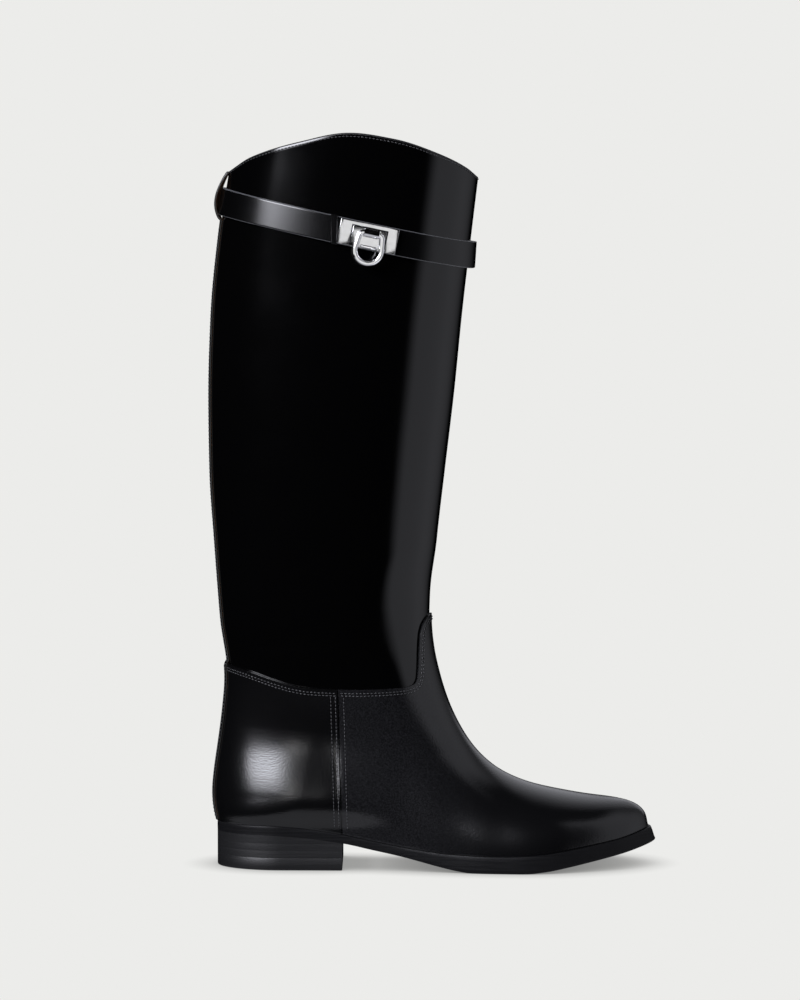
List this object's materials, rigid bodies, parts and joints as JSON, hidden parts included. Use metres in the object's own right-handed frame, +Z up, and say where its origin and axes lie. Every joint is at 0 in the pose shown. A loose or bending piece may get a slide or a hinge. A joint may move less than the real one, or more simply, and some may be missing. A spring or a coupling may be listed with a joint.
{
  "type": "tall riding boot",
  "caption": "Tall leather riding boot with a hollow shaft, low stacked heel, foot panels, and a belt round the top with a metal clasp and hanging ring.",
  "frame": {"origin": "middle of the heel's flat bottom face, on the floor", "axes": "+X towards the toe, +Z up the shaft, -Y towards the boot's outer side"},
  "size_m": [0.2765, 0.1007, 0.4515],
  "materials": {
    "leather": "black grained calf with a polished sheen",
    "sole_leather": "black stained edge, matt",
    "heel_rubber": "matt black",
    "lining": "natural tan, smooth",
    "clasp_metal": "polished"
  },
  "bodies": {
    "boot": {"upper": "leather", "vamp": "leather", "counter": "leather", "backstay": "leather", "belt": "leather", "belt_keeper": "leather", "clasp_plate": "clasp_metal", "clasp_leaf": "clasp_metal", "outsole": "sole_leather", "heel_stack": "sole_leather", "top_lift": "heel_rubber", "insole": "lining"},
    "ring": {"clasp_ring": "clasp_metal"}
  },
  "joints": [
    {"name": "ring_swing", "type": "hinge", "parent": "boot", "child": "ring", "pos_m": [0.0569, -0.05038, 0.39073], "axis": [-0.9734, -0.1008, 0.2058], "range_deg": [-3, 170]}
  ]
}
